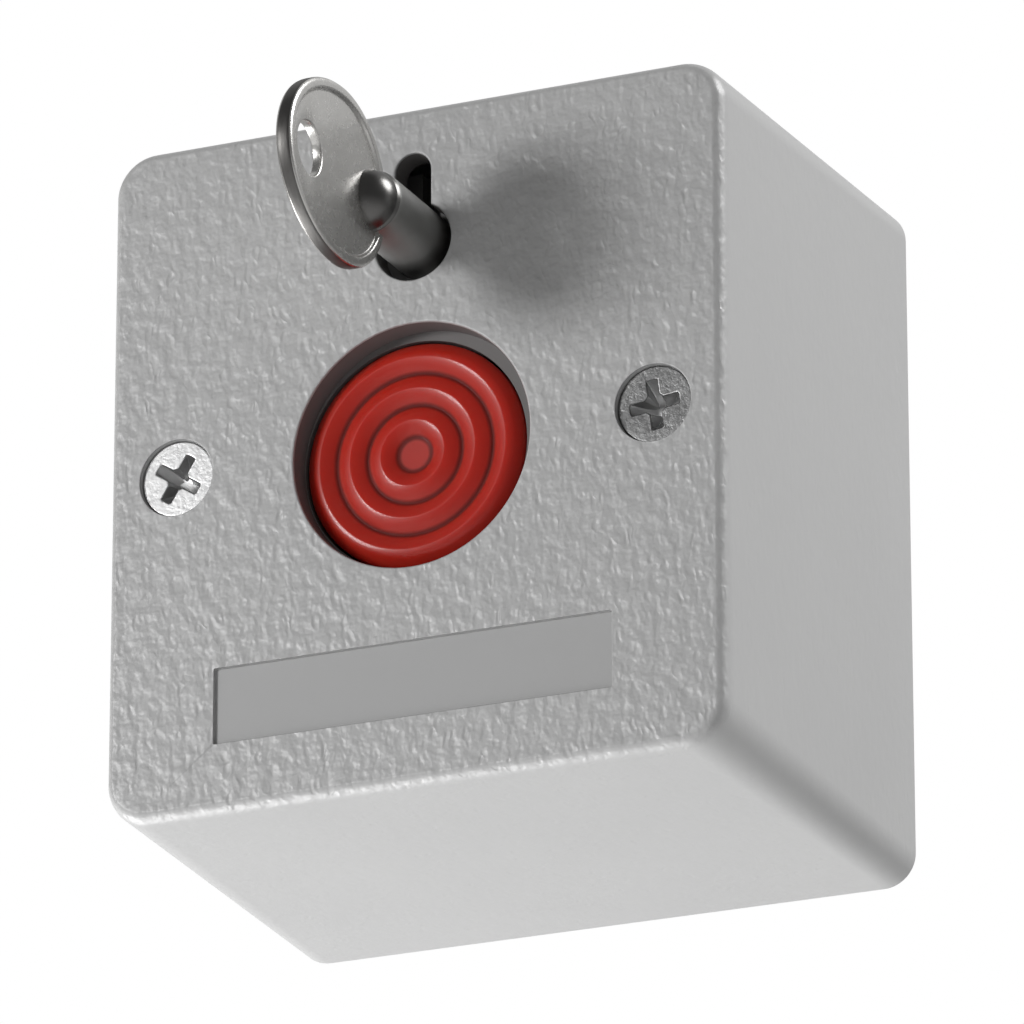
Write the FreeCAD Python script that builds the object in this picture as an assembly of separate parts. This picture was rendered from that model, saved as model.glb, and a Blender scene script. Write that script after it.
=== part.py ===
import FreeCAD, Part
import math
import os

# Wired panic button: a drafted wall box with a recessed push button that stays in when it is pressed,
# and a key that lets it out again. Millimetres. The origin is the centre of the back face, which goes on
# the wall. +Z is up, and the front looks along -Y, so everything in the box has a negative Y.

V = FreeCAD.Vector

# Front cover
face_width = 56.0
face_height = 60.0
depth = 40.0
draft_run = 0.7
corner_radius = 3.8
edge_radius = 1.5
wall = 2.0
face_wall = 2.4
smallest_radius = 0.6

# Blank recess for a name strip
label_width = 35.9
label_height = 6.6
label_up = 9.2
label_depth = 0.35

# Button hole, a little off the button, and the collar behind it, which is bored for the button
button_hole_x = -0.1
button_hole_below = 0.3
button_hole_gap = 0.85
collar_gap = 0.2
collar_wall = 1.4
collar_length = 6.0

# Keyhole, and the line of the cover screws below it, from which the button is placed
keyhole_drop = 12.2
screw_line_drop = 17.8
keyhole_radius = 3.47
keyhole_slot_width = 3.25
keyhole_slot_reach = 7.9

# Cover screws, countersunk, with a cross recess
cover_screw_inset = 6.3
cover_screw_head_radius = 3.3
cover_screw_head_gap = 0.06
cover_screw_sink = 0.45
cover_screw_rim = 0.25
cover_screw_radius = 1.7
cover_screw_length = 14.0
cover_screw_hole_gap = 0.3
cover_boss_radius = 4.0
cover_boss_length = 3.6
cross_width = 0.95
cross_span = 3.9
cross_depth = 1.3
cross_turns = (33.0, 8.0)
thread_fit = 0.04

# Rear plate
base_thickness = 2.5
base_gap = 0.2
base_rim_wall = 1.2
base_rim_height = 2.0
base_post_radius = 3.6
base_pilot_depth = 18.0
gusset_thickness = 1.2
gusset_reach = 6.0
gusset_height = 9.0
wall_slot_inset = 10.0
wall_slot_radius = 2.1
wall_slot_length = 8.0
cable_hole_radius = 4.5
cable_hole_side = 10.5
cable_hole_up = 13.0

# Push button
button_x = -0.7
button_below = 0.4
cap_radius = 9.9
cap_chamfer = 0.3
cap_recess = 2.7
cap_rim_drop = 0.35
cap_slider_room = 1.0
cap_wall = 1.6
ridge_radii = (2.9, 5.7, 8.5)
ridge_height = 1.1
ridge_inner_run = 1.25
ridge_outer_run = 1.15
ridge_crest_width = 0.4
button_travel = 3.5
latch_travel = 3.0

# Plunger under the cap
plunger_radius = 4.5
socket_radius = 2.9
socket_wall = 1.3
socket_fit = 0.02
socket_floor_gap = 0.1
rod_radius = 2.0
running_fit = 0.06
plunger_stop_depth = 2.0
well_floor = 1.5
well_wall = 1.5
well_end = 7.0
clip_radius = 3.5
clip_thickness = 0.6
clip_groove_radius = 1.5
clip_mouth = 2.4
clip_play = 0.05
leaf_rod_gap = 0.1
spring_wire = 0.6
spring_radius = 3.3
spring_turns = 3.0
wire_sides = 4

# Chassis of the mechanism, held to posts on the cover
plate_thickness = 3.0
plate_half_width = 16.0
plate_foot = 5.0
plate_head = 4.7
plate_corner = 2.5
post_radius = 3.0
post_x = 13.0
upper_post_drop = 10.5
lower_post_up = 11.0
base_post_room = 1.0
chassis_screw_radius = 1.25
chassis_screw_head = 2.6
chassis_screw_head_height = 1.8
chassis_screw_length = 7.0
chassis_screw_hole_gap = 0.25
driver_slot_width = 0.8
driver_slot_depth = 0.8

# Key, rotor and catch
key_lift = 0.3
shank_radius = 2.85
shank_floor_gap = 0.4
key_bore_radius = 1.35
key_bore_depth = 10.5
bit_thickness = 2.6
bit_reach = 7.3
bit_length = 4.0
bit_setback = 0.3
neck_radius = 2.3
neck_start = 7.4
neck_end = 13.3
shoulder_run = 0.8
bow_centre = 14.9
bow_outer_reach = 10.5
bow_inner_reach = 8.4
bow_half_height = 7.7
bow_thickness = 1.45
bow_rim = 0.95
bow_dish = 0.28
ring_hole_centre = 21.1
ring_hole_radius = 2.3

rotor_radius = 4.4
rotor_front_play = 0.1
fork_wall = 1.5
fork_reach = 7.9
fork_front = 6.3
slot_play = 0.15
rotor_web = 1.8
journal_radius = 2.9
post_pin_radius = 1.25
post_bore_gap = 3.2

cam_base_radius = 3.6
cam_rise = 2.75
cam_angle = 80.0
cam_dwell = 12.0
cam_return = 26.0
catch_drop = 1.65
catch_play = 0.12

slider_thickness = 2.4
slider_play = 0.1
slider_bar = 1.5
slider_side_room = 0.25
slider_below = 5.0
leg_half_width = 3.0
nose_height = 1.15
spring_slot_width = 2.8
spring_slot_bridge = 0.6
lug_height = 0.95
lug_width = 2.2
rail_width = 1.5
rail_overhang = 0.8
rail_below = 4.6
rail_above = 4.4
latch_wire = 0.28
latch_spring_radius = 0.85
latch_spring_turns = 3.0

# Contacts and terminals
block_height = 10.0
block_half_width = 15.0
block_foot = 0.5
block_length = 11.0
barrier_x = 5.0
barrier_thickness = 1.2
barrier_height = 2.6
terminal_pitch = 10.0
terminal_up = 5.0
strip_thickness = 0.8
strip_width = 7.0
strip_edge = 0.6
strip_tongue = 2.0
arm_width = 3.0
arm_rise = 9.0
tab_rise = 4.0
tab_height = 4.0
tab_past = 1.8
contact_rise = 6.0
contact_radius = 1.5
contact_height = 0.5
contact_shank = 0.8
contact_gap = 0.05
leaf_thickness = 0.3
leaf_width = 5.0
leaf_rise = 8.0
leaf_angle = 0.12
leaf_slot_play = 0.15
leaf_shoulder = 0.5
leaf_root_up = 0.8
leaf_bead_radius = 0.2
no_contact_gap = 0.08
contact_back_room = 2.05
terminal_screw_radius = 1.15
terminal_screw_head = 2.5
terminal_screw_head_height = 1.8
terminal_screw_length = 5.0
terminal_hole_gap = 0.2
washer_side = 6.2
washer_thickness = 0.6

# Places across the box. The key, the button and the cover screws hang from its top edge, and the name strip
# and the terminals stand on its bottom edge.
keyhole_z = face_height / 2 - keyhole_drop
middle_z = keyhole_z - screw_line_drop
cover_screw_x = face_width / 2 - cover_screw_inset
button_hole_z = middle_z - button_hole_below
button_hole_radius = cap_radius + button_hole_gap
button_z = middle_z - button_below
key_z = keyhole_z + key_lift
label_z = label_up - face_height / 2
wall_slot_z = face_height / 2 - wall_slot_inset
cable_hole_x = face_width / 2 - cable_hole_side
cable_hole_z = cable_hole_up - face_height / 2
plate_top = face_height / 2 - plate_head
plate_bottom = plate_foot - face_height / 2
upper_post_z = face_height / 2 - upper_post_drop
lower_post_z = lower_post_up - face_height / 2
post_places = ((-post_x, upper_post_z), (-post_x, lower_post_z), (post_x, lower_post_z))
block_bottom = plate_bottom + block_foot
block_top = block_bottom + block_length
terminal_z = block_bottom + terminal_up
leaf_root_z = block_top + leaf_root_up
leaf_top = middle_z + leaf_rise
contact_z = middle_z + contact_rise
arm_top = middle_z + arm_rise
tab_bottom = middle_z + tab_rise
tab_top = tab_bottom + tab_height

# Levels along Y. The contacts and the chassis stack up from the rear plate.
face_y = -depth
inner_y = face_y + face_wall
boss_end_y = inner_y + cover_boss_length
leaf_swing = (contact_z + contact_radius - leaf_root_z) * math.sin(leaf_angle)
no_arm_y = -base_thickness - contact_back_room - strip_thickness
no_face_y = no_arm_y - contact_height
moving_back_y = no_face_y - no_contact_gap - leaf_swing
leaf_back_y = moving_back_y - contact_height
leaf_front_y = leaf_back_y - leaf_thickness
moving_front_y = leaf_front_y - contact_height
nc_face_y = moving_front_y - contact_gap
strip_back_y = nc_face_y - contact_height
block_y = strip_back_y - strip_thickness
plate_back_y = block_y - block_height
plate_y = plate_back_y - plate_thickness
slider_back_y = plate_y - slider_play
slider_front_y = slider_back_y - slider_thickness
rotor_floor_y = slider_front_y - rotor_web
shank_end_y = rotor_floor_y - shank_floor_gap
cap_floor_y = face_y + cap_recess
cap_under_y = cap_floor_y + cap_wall
cap_rear_y = slider_front_y - cap_slider_room - button_travel
well_end_y = plate_back_y + well_end
well_floor_y = well_end_y - well_floor
plunger_stop = plate_y + plunger_stop_depth
leaf_push = (button_z - rod_radius / 2 - leaf_root_z) * math.sin(leaf_angle)
leaf_pretravel = button_travel - leaf_push + leaf_rod_gap

# Levels of the catch, whose nose rides on the plunger
nose_z = button_z + plunger_radius + catch_play
window_top_z = key_z + cam_base_radius + catch_drop + catch_play * 2
window_bottom_z = key_z - slider_below
window_half = cam_base_radius + cam_rise + slider_side_room


# Helpers for solids whose axis lies along Y
def cylinder(radius, y0, y1, x=0.0, z=0.0):
    return Part.makeCylinder(radius, y1 - y0, V(x, y0, z), V(0, 1, 0))


def cone(radius0, radius1, y0, y1, x=0.0, z=0.0):
    return Part.makeCone(radius0, radius1, y1 - y0, V(x, y0, z), V(0, 1, 0))


def box(x0, x1, y0, y1, z0, z1):
    return Part.makeBox(x1 - x0, y1 - y0, z1 - z0, V(x0, y0, z0))


def fuse(first, *others):
    return first.multiFuse(list(others)).removeSplitter()


def cut(solid, *tools):
    for tool in tools:
        solid = solid.cut(tool)
    return solid


def spin(profile, x=0.0, z=0.0):
    # Turn a closed profile of (radius, y) points and arcs round the Y axis through x, z.
    face = Part.Face(profile)
    solid = face.revolve(V(0, 0, 0), V(0, 1, 0), 360)
    solid.translate(V(x, 0, z))
    return solid


def line(a, b):
    return Part.makeLine(V(*a), V(*b))


def arc(a, b, c):
    return Part.Arc(V(*a), V(*b), V(*c)).toShape()


def polyline(points):
    return [line(a, b) for a, b in zip(points, points[1:]) if a != b]


def rounded_outline(half_width, half_height, radius, y, x=0.0, z=0.0):
    # A rectangle with round corners in the plane of the given depth.
    edges = []
    bend = radius * (1 - math.sqrt(0.5))
    corners = ((1, 1), (-1, 1), (-1, -1), (1, -1))
    for i, (sx, sz) in enumerate(corners):
        cx, cz = x + sx * half_width, z + sz * half_height
        on_side = (cx, y, cz - sz * radius)
        on_top = (cx - sx * radius, y, cz)
        middle = (cx - sx * bend, y, cz - sz * bend)
        first, last = (on_side, on_top) if i % 2 == 0 else (on_top, on_side)
        edges.append(arc(first, middle, last))
        nx, nz = corners[(i + 1) % 4]
        next_x, next_z = x + nx * half_width, z + nz * half_height
        if i % 2 == 0:
            edges.append(line(last, (next_x - nx * radius, y, next_z)))
        else:
            edges.append(line(last, (next_x, y, next_z - nz * radius)))
    return Part.Wire(edges)


def drafted_block(front, back, inset):
    # A block that grows evenly from front to back, with round corners, set in from the box's outside.
    x0, x1 = (face_width / 2 - inset + draft_run * (y - face_y) / depth for y in (front, back))
    z0, z1 = (face_height / 2 - inset + draft_run * (y - face_y) / depth for y in (front, back))
    block = Part.makeWedge(-x0, front, -z0, -z1, -x1, x0, back, z0, z1, x1)
    corners = [e for e in block.Edges if e.BoundBox.YLength > (back - front) / 2]
    return block.makeFillet(max(corner_radius - inset, smallest_radius), corners)


def rounded_plate(half_width, bottom, top, radius, y0, y1):
    middle = (bottom + top) / 2
    outline = rounded_outline(half_width, (top - bottom) / 2, radius, y0, 0.0, middle)
    return Part.Face(outline).extrude(V(0, y1 - y0, 0))


def coil(radius, wire, turns, start, end):
    # A compression spring from start to end, which lie on one line along Y or Z. Its wire has flats, not a
    # round section, which keeps its mesh light.
    span = end.sub(start)
    pitch = (span.Length - wire) / turns
    helix = Part.makeHelix(pitch, pitch * turns, radius)
    section = []
    for i in range(wire_sides + 1):
        angle = 2 * math.pi * i / wire_sides
        section.append(V(radius + wire / 2 * math.cos(angle), 0, wire / 2 * math.sin(angle)))
    spring = Part.Wire(helix.Edges).makePipeShell([Part.makePolygon(section)], True, True)
    spring.translate(V(0, 0, wire / 2))
    spring.Placement = FreeCAD.Placement(start, FreeCAD.Rotation(V(0, 0, 1), span)).multiply(spring.Placement)
    return Part.Solid(spring)


# Cover and rear plate
def side_web(side, y0, y1, radius, half_thickness):
    # Joins a round boss beside the button to the cover's side wall.
    outer = face_width / 2 - wall / 2
    x0, x1 = sorted((side * cover_screw_x, side * outer))
    return box(x0, x1, y0, y1, middle_z - half_thickness, middle_z + half_thickness)


def keyhole_cutter(y0, y1):
    half = keyhole_slot_width / 2
    top = keyhole_z + keyhole_slot_reach - half
    slot = box(-half, half, y0, y1, keyhole_z, top)
    return fuse(cylinder(keyhole_radius, y0, y1, 0, keyhole_z), slot, cylinder(half, y0, y1, 0, top))


def screw_seat_cutter(side):
    # Straight rim, 90 degree countersink and clearance hole of one cover screw.
    x = side * cover_screw_x
    rim = cover_screw_head_radius + cover_screw_head_gap
    hole = cover_screw_radius + cover_screw_hole_gap
    rim_end = face_y + cover_screw_sink + cover_screw_rim
    cone_end = rim_end + rim - hole
    return fuse(cylinder(rim, face_y - 1, rim_end, x, middle_z), cone(rim, hole, rim_end, cone_end, x, middle_z),
                cylinder(hole, face_y, boss_end_y + 1, x, middle_z))


def make_front_cover():
    block = drafted_block(face_y, 0.0, 0.0)
    front_edges = [e for e in block.Edges if all(abs(v.Y - face_y) < 1e-6 for v in e.Vertexes)]
    block = block.makeFillet(edge_radius, front_edges)
    shell = block.cut(drafted_block(inner_y, 1.0, wall))
    inside = []
    collar_end_y = inner_y + collar_length
    inside.append(cylinder(button_hole_radius + collar_wall, inner_y, collar_end_y, button_hole_x, button_hole_z))
    for side in (-1, 1):
        inside.append(cylinder(cover_boss_radius, inner_y, boss_end_y, side * cover_screw_x, middle_z))
        inside.append(side_web(side, inner_y, boss_end_y, cover_boss_radius, cover_boss_radius / 2))
    for x, z in post_places:
        inside.append(cylinder(post_radius, inner_y, plate_y, x, z))
    shell = fuse(shell, *inside)
    tools = [cylinder(button_hole_radius, face_y - 1, inner_y, button_hole_x, button_hole_z)]
    tools.append(cylinder(cap_radius + collar_gap, face_y - 1, collar_end_y + 1, button_x, button_z))
    tools.append(keyhole_cutter(face_y - 1, inner_y + 1))
    tools.extend(screw_seat_cutter(side) for side in (-1, 1))
    pilot = chassis_screw_radius + thread_fit
    for x, z in post_places:
        tools.append(cylinder(pilot, plate_y - chassis_screw_length - 1, plate_y + 1, x, z))
    half = label_width / 2
    low, high = label_z - label_height / 2, label_z + label_height / 2
    tools.append(box(-half, half, face_y - 1, face_y + label_depth, low, high))
    return cut(shell, *tools)


def slot_cutter(z, y0, y1):
    reach = wall_slot_length / 2 - wall_slot_radius
    middle = box(-wall_slot_radius, wall_slot_radius, y0, y1, z - reach, z + reach)
    ends = [cylinder(wall_slot_radius, y0, y1, 0, z + s * reach) for s in (-1, 1)]
    return fuse(middle, *ends)


def make_base_plate():
    front = -base_thickness
    rim_front = front - base_rim_height
    inset = wall + base_gap
    plate = drafted_block(front, 0.0, inset)
    rim = drafted_block(rim_front, front, inset).cut(drafted_block(rim_front - 1, front + 1, inset + base_rim_wall))
    parts = [rim]
    pilot = cover_screw_radius + thread_fit
    for side in (-1, 1):
        x = side * cover_screw_x
        parts.append(cylinder(base_post_radius, boss_end_y, front, x, middle_z))
        for way in (-1, 1):
            x0, side_z = x - gusset_thickness / 2, middle_z + way * base_post_radius
            side_view = polyline([(x0, front, middle_z), (x0, front - gusset_height, middle_z),
                                  (x0, front - gusset_height, side_z), (x0, front, side_z + way * gusset_reach),
                                  (x0, front, middle_z)])
            parts.append(Part.Face(Part.Wire(side_view)).extrude(V(gusset_thickness, 0, 0)))
    plate = fuse(plate, *parts)
    tools = [slot_cutter(way * wall_slot_z, front - 1, 1.0) for way in (-1, 1)]
    tools.append(cylinder(cable_hole_radius, front - 1, 1.0, cable_hole_x, cable_hole_z))
    for side in (-1, 1):
        x = side * cover_screw_x
        tools.append(cylinder(pilot, boss_end_y - 1, boss_end_y + base_pilot_depth, x, middle_z))
    return cut(plate, *tools)


def make_cover_screw(side, turn):
    head_y = face_y + cover_screw_sink
    rim_end = head_y + cover_screw_rim
    cone_end = rim_end + cover_screw_head_radius - cover_screw_radius
    screw = fuse(cylinder(cover_screw_head_radius, head_y, rim_end),
                 cone(cover_screw_head_radius, cover_screw_radius, rim_end, cone_end),
                 cylinder(cover_screw_radius, cone_end, head_y + cover_screw_length))
    half, arm = cross_width / 2, cross_span / 2
    for a, b in ((half, arm), (arm, half)):
        wing = box(-a, a, head_y - 1, head_y + cross_depth, -b, b)
        screw = screw.cut(wing)
    screw.rotate(V(0, 0, 0), V(0, 1, 0), turn)
    screw.translate(V(side * cover_screw_x, 0, middle_z))
    return screw


def make_cover_screws():
    return Part.makeCompound([make_cover_screw(side, turn) for side, turn in zip((-1, 1), cross_turns)])


# Button and plunger
def make_push_button():
    top = cap_floor_y
    crest = top - ridge_height
    inner = cap_radius - cap_wall
    socket_out = socket_radius + socket_wall
    points = [(0.0, top, 0.0)]
    for radius in ridge_radii:
        points += [(radius - ridge_inner_run, top, 0.0), (radius - ridge_crest_width / 2, crest, 0.0),
                   (radius + ridge_crest_width / 2, crest, 0.0), (radius + ridge_outer_run, top, 0.0)]
    rim = crest + cap_rim_drop
    points[-1] = (cap_radius - cap_chamfer, rim, 0.0)
    points += [(cap_radius, rim + cap_chamfer, 0.0),
               (cap_radius, cap_rear_y, 0.0), (inner, cap_rear_y, 0.0), (inner, cap_under_y, 0.0),
               (socket_out, cap_under_y, 0.0), (socket_out, cap_rear_y, 0.0), (socket_radius, cap_rear_y, 0.0),
               (socket_radius, cap_under_y, 0.0), (0.0, cap_under_y, 0.0), (0.0, top, 0.0)]
    return spin(Part.Wire(polyline(points)), button_x, button_z)


def make_plunger():
    boss = socket_radius - socket_fit
    tip_y = leaf_front_y - leaf_pretravel
    groove_y = well_end_y + clip_play
    groove_end = groove_y + clip_thickness
    front = cap_under_y + socket_floor_gap
    points = [(0.0, front, 0.0), (boss, front, 0.0), (boss, cap_rear_y, 0.0),
              (plunger_radius, cap_rear_y, 0.0), (plunger_radius, plunger_stop, 0.0),
              (rod_radius, plunger_stop, 0.0), (rod_radius, groove_y, 0.0),
              (clip_groove_radius, groove_y, 0.0), (clip_groove_radius, groove_end, 0.0),
              (rod_radius, groove_end, 0.0), (rod_radius, tip_y - rod_radius / 2, 0.0),
              (rod_radius / 2, tip_y, 0.0), (0.0, tip_y, 0.0), (0.0, front, 0.0)]
    plunger = spin(Part.Wire(polyline(points)), button_x, button_z)
    notch_z = button_z + plunger_radius - catch_drop
    notch = box(button_x - plunger_radius, button_x + plunger_radius, slider_front_y - latch_travel - slider_play,
                slider_back_y - latch_travel + slider_play, notch_z, notch_z + plunger_radius)
    return plunger.cut(notch)


def make_plunger_clip():
    y0 = well_end_y + clip_play
    y1 = y0 + clip_thickness
    ring = cylinder(clip_radius, y0, y1).cut(cylinder(clip_groove_radius, y0 - 1, y1 + 1))
    mouth = box(0.0, clip_radius + 1, y0 - 1, y1 + 1, -clip_mouth / 2, clip_mouth / 2)
    clip = ring.cut(mouth)
    clip.translate(V(button_x, 0, button_z))
    return clip


def make_return_spring():
    start = V(button_x, plunger_stop, button_z)
    end = V(button_x, well_floor_y, button_z)
    return coil(spring_radius, spring_wire, spring_turns, start, end)


# Chassis
def make_rail(side):
    # Guides one side of the catch plate and hooks over it.
    inner = window_half + slider_bar + slider_side_room
    hook_y = slider_front_y - slider_play
    z0, z1 = key_z - rail_below, key_z + rail_above
    x0, x1 = sorted((side * inner, side * (inner + rail_width)))
    h0, h1 = sorted((side * (inner - rail_overhang), side * (inner + rail_width)))
    return fuse(box(x0, x1, hook_y - rail_overhang, plate_y + 1, z0, z1),
                box(h0, h1, hook_y - rail_overhang, hook_y, z0, z1))


def make_chassis():
    plate = rounded_plate(plate_half_width, plate_bottom, plate_top, plate_corner, plate_y, plate_back_y)
    well_outer = plunger_radius + running_fit + well_wall
    parts = [cylinder(well_outer, plate_y, well_end_y, button_x, button_z)]
    parts.append(box(-block_half_width, block_half_width, plate_back_y - 1, block_y, block_bottom, block_top))
    for x in (-barrier_x, barrier_x):
        half = barrier_thickness / 2
        parts.append(box(x - half, x + half, block_y - 1, block_y + barrier_height, block_bottom, block_top))
    near, far = terminal_pitch - arm_width / 2, terminal_pitch + arm_width / 2
    parts.append(box(-far, -near, plate_back_y - 1, block_y, block_top, arm_top))
    pillar_bottom = block_top + strip_tongue
    parts.append(box(near, far, plate_back_y - 1, no_arm_y, pillar_bottom, arm_top))
    parts.append(box(near, far, plate_back_y - 1, block_y, block_top, pillar_bottom))
    parts.extend(make_rail(side) for side in (-1, 1))
    lug_top = spring_slot_top() - catch_drop - catch_play
    lug = box(-lug_width / 2, lug_width / 2, slider_front_y, plate_y + 1, lug_top - lug_height, lug_top)
    parts.append(lug)
    chassis = fuse(plate, *parts)
    tools = [cylinder(plunger_radius + running_fit, plate_y - 1, well_floor_y, button_x, button_z)]
    tools.append(cylinder(rod_radius + running_fit, well_floor_y - 1, well_end_y + 1, button_x, button_z))
    tools.append(cylinder(journal_radius + running_fit, plate_y - 1, plate_back_y + 1, 0, key_z))
    hole = chassis_screw_radius + chassis_screw_hole_gap
    for x, z in post_places:
        seat = chassis_screw_head + chassis_screw_hole_gap
        tools.append(cylinder(hole, plate_y - 1, plate_back_y + 1, x, z))
        tools.append(cylinder(seat, plate_back_y, block_y + 1, x, z))
    pilot = terminal_screw_radius + thread_fit
    for x in (-terminal_pitch, 0.0, terminal_pitch):
        tools.append(cylinder(pilot, block_y - terminal_screw_length - 1, block_y + 1, x, terminal_z))
    for x in (-cover_screw_x, cover_screw_x):
        tools.append(cylinder(base_post_radius + base_post_room, plate_y - 1, plate_back_y + 1, x, middle_z))
    return cut(chassis, *tools)


def pan_screw(x, z, seat_y, head_radius, head_height, radius, tip_y):
    # A slotted screw that points to the front, with the edge of its head broken.
    head_back = seat_y + head_height
    edge = head_height / 3
    points = [(0.0, tip_y, 0.0), (radius, tip_y, 0.0), (radius, seat_y, 0.0), (head_radius, seat_y, 0.0),
              (head_radius, head_back - edge, 0.0), (head_radius - edge, head_back, 0.0), (0.0, head_back, 0.0),
              (0.0, tip_y, 0.0)]
    slot = box(x - head_radius, x + head_radius, head_back - driver_slot_depth, head_back + 1,
               z - driver_slot_width / 2, z + driver_slot_width / 2)
    return spin(Part.Wire(polyline(points)), x, z).cut(slot)


def make_chassis_screws():
    tip = plate_y - chassis_screw_length
    screws = [pan_screw(x, z, plate_back_y, chassis_screw_head, chassis_screw_head_height, chassis_screw_radius, tip)
              for x, z in post_places]
    return Part.makeCompound(screws)


# Catch plate and its spring
def spring_slot_top():
    return window_bottom_z - slider_bar - spring_slot_bridge


def make_latch_slider():
    y0, y1 = slider_front_y, slider_back_y
    half = window_half + slider_bar
    frame = box(-half, half, y0, y1, window_bottom_z - slider_bar, window_top_z + slider_bar)
    leg = box(-leg_half_width, leg_half_width, y0, y1, nose_z, window_bottom_z)
    window = box(-window_half, window_half, y0 - 1, y1 + 1, window_bottom_z, window_top_z)
    slot = box(-spring_slot_width / 2, spring_slot_width / 2, y0 - 1, y1 + 1, nose_z + nose_height,
               spring_slot_top())
    return cut(fuse(frame, leg), window, slot)


def make_latch_spring():
    y = (slider_front_y + slider_back_y) / 2
    lug_bottom = spring_slot_top() - catch_drop - catch_play - lug_height
    return coil(latch_spring_radius, latch_wire, latch_spring_turns, V(0, y, nose_z + nose_height), V(0, y, lug_bottom))


# Rotor behind the keyhole
def cam_point(radius, angle, y):
    turn = math.radians(angle)
    return (-radius * math.sin(turn), y, key_z + radius * math.cos(turn))


def cam_outline(y):
    # A spiral that rises evenly with the angle, a short dwell and a fall back to the base circle.
    top = cam_base_radius + cam_rise
    steps = 6
    spiral = [V(*cam_point(cam_base_radius + cam_rise * i / steps, cam_angle * i / steps, y)) for i in range(steps + 1)]
    curve = Part.BSplineCurve()
    curve.interpolate(spiral)
    dwell_end = cam_angle + cam_dwell
    fall_end = dwell_end + cam_return
    far = (fall_end + 360.0) / 2
    edges = [curve.toShape()]
    edges.append(arc(cam_point(top, cam_angle, y), cam_point(top, cam_angle + cam_dwell / 2, y),
                     cam_point(top, dwell_end, y)))
    edges.append(line(cam_point(top, dwell_end, y), cam_point(cam_base_radius, fall_end, y)))
    edges.append(arc(cam_point(cam_base_radius, fall_end, y), cam_point(cam_base_radius, far, y),
                     cam_point(cam_base_radius, 360.0, y)))
    return Part.Wire(edges)


def make_reset_cam():
    front = inner_y + rotor_front_play
    bore = shank_radius + running_fit
    cam_back = plate_y - rotor_front_play
    cam_front = slider_front_y - slider_play
    disc = Part.Face(cam_outline(cam_front)).extrude(V(0, cam_back - cam_front, 0))
    fork_half = bit_thickness / 2 + slot_play + fork_wall
    fork_y = inner_y + fork_front - bit_length / 2 - fork_wall
    parts = [cylinder(rotor_radius, front, cam_front, 0, key_z),
             box(-fork_half, fork_half, fork_y, rotor_floor_y, key_z, key_z + fork_reach),
             cylinder(journal_radius, cam_back, plate_back_y, 0, key_z)]
    rotor = fuse(disc, *parts)
    slot_half = bit_thickness / 2 + slot_play
    slot = box(-slot_half, slot_half, front - 1, rotor_floor_y, key_z, key_z + fork_reach + 1)
    return cut(rotor, cylinder(bore, front - 1, rotor_floor_y, 0, key_z), slot,
               cylinder(post_pin_radius, front - 1, plate_back_y + 1, 0, key_z))


def make_key_post():
    front = shank_end_y - key_bore_depth + post_bore_gap
    tip = post_pin_radius / 2
    return fuse(cylinder(post_pin_radius, front + tip, plate_back_y, 0, key_z),
                cone(tip, post_pin_radius, front, front + tip, 0, key_z))


def bow_outline(x, inset):
    # An oval with a long outer half and a shorter inner half, in the plane of the shank's axis.
    centre = V(x, face_y - bow_centre, key_z)
    high = bow_half_height - inset
    edges = []
    for way, reach in ((-1, bow_outer_reach - inset), (1, bow_inner_reach - inset)):
        axis_end = centre.add(V(0, way * reach, 0))
        side_end = centre.add(V(0, 0, -way * high))
        oval = Part.Ellipse(axis_end, side_end, centre)
        edges.append(Part.ArcOfEllipse(oval, -math.pi / 2, math.pi / 2).toShape())
    return Part.Wire(Part.__sortEdges__(edges))


def make_bow():
    half = bow_thickness / 2
    bow = Part.Face(bow_outline(-half, 0.0)).extrude(V(bow_thickness, 0, 0))
    for start, run in ((half - bow_dish, 1.0), (-half + bow_dish, -1.0)):
        bow = bow.cut(Part.Face(bow_outline(start, bow_rim)).extrude(V(run, 0, 0)))
    ring_y = face_y - ring_hole_centre
    ring = Part.makeCylinder(ring_hole_radius, 2 * bow_thickness, V(-bow_thickness, ring_y, key_z), V(1, 0, 0))
    return bow.cut(ring)


def make_reset_key():
    end = shank_end_y
    front = face_y - neck_end
    neck_y = face_y - neck_start
    dome_y = front + neck_radius
    slant = neck_radius * math.sqrt(0.5)
    edges = [arc((0.0, front, 0.0), (slant, dome_y - slant, 0.0), (neck_radius, dome_y, 0.0))]
    edges += polyline([(neck_radius, dome_y, 0.0), (neck_radius, neck_y - shoulder_run, 0.0),
                       (shank_radius, neck_y, 0.0), (shank_radius, end, 0.0), (0.0, end, 0.0), (0.0, front, 0.0)])
    shank = spin(Part.Wire(edges), 0, key_z)
    half = bit_thickness / 2
    bit_y = end - bit_setback - bit_length
    bit = box(-half, half, bit_y, bit_y + bit_length, key_z, key_z + bit_reach)
    rounded = [e for e in bit.Edges if abs(e.BoundBox.YLength - bit_length) < 1e-6 and e.BoundBox.ZMin > key_z + 1]
    bit = bit.makeFillet(half / 2, rounded)
    key = fuse(shank, bit, make_bow())
    return key.cut(cylinder(key_bore_radius, end - key_bore_depth, end + 1, 0, key_z))


# Contacts
def strip_base(x, bottom_edge):
    # The flat end of a terminal strip, lying on the block under its screw.
    half = strip_width / 2
    return box(x - half, x + half, block_y, strip_back_y, bottom_edge, block_top - strip_edge / 2)


def screw_hole_cutter(x):
    hole = terminal_screw_radius + terminal_hole_gap
    return cylinder(hole, block_y - 1, strip_back_y + washer_thickness + 1, x, terminal_z)


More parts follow.
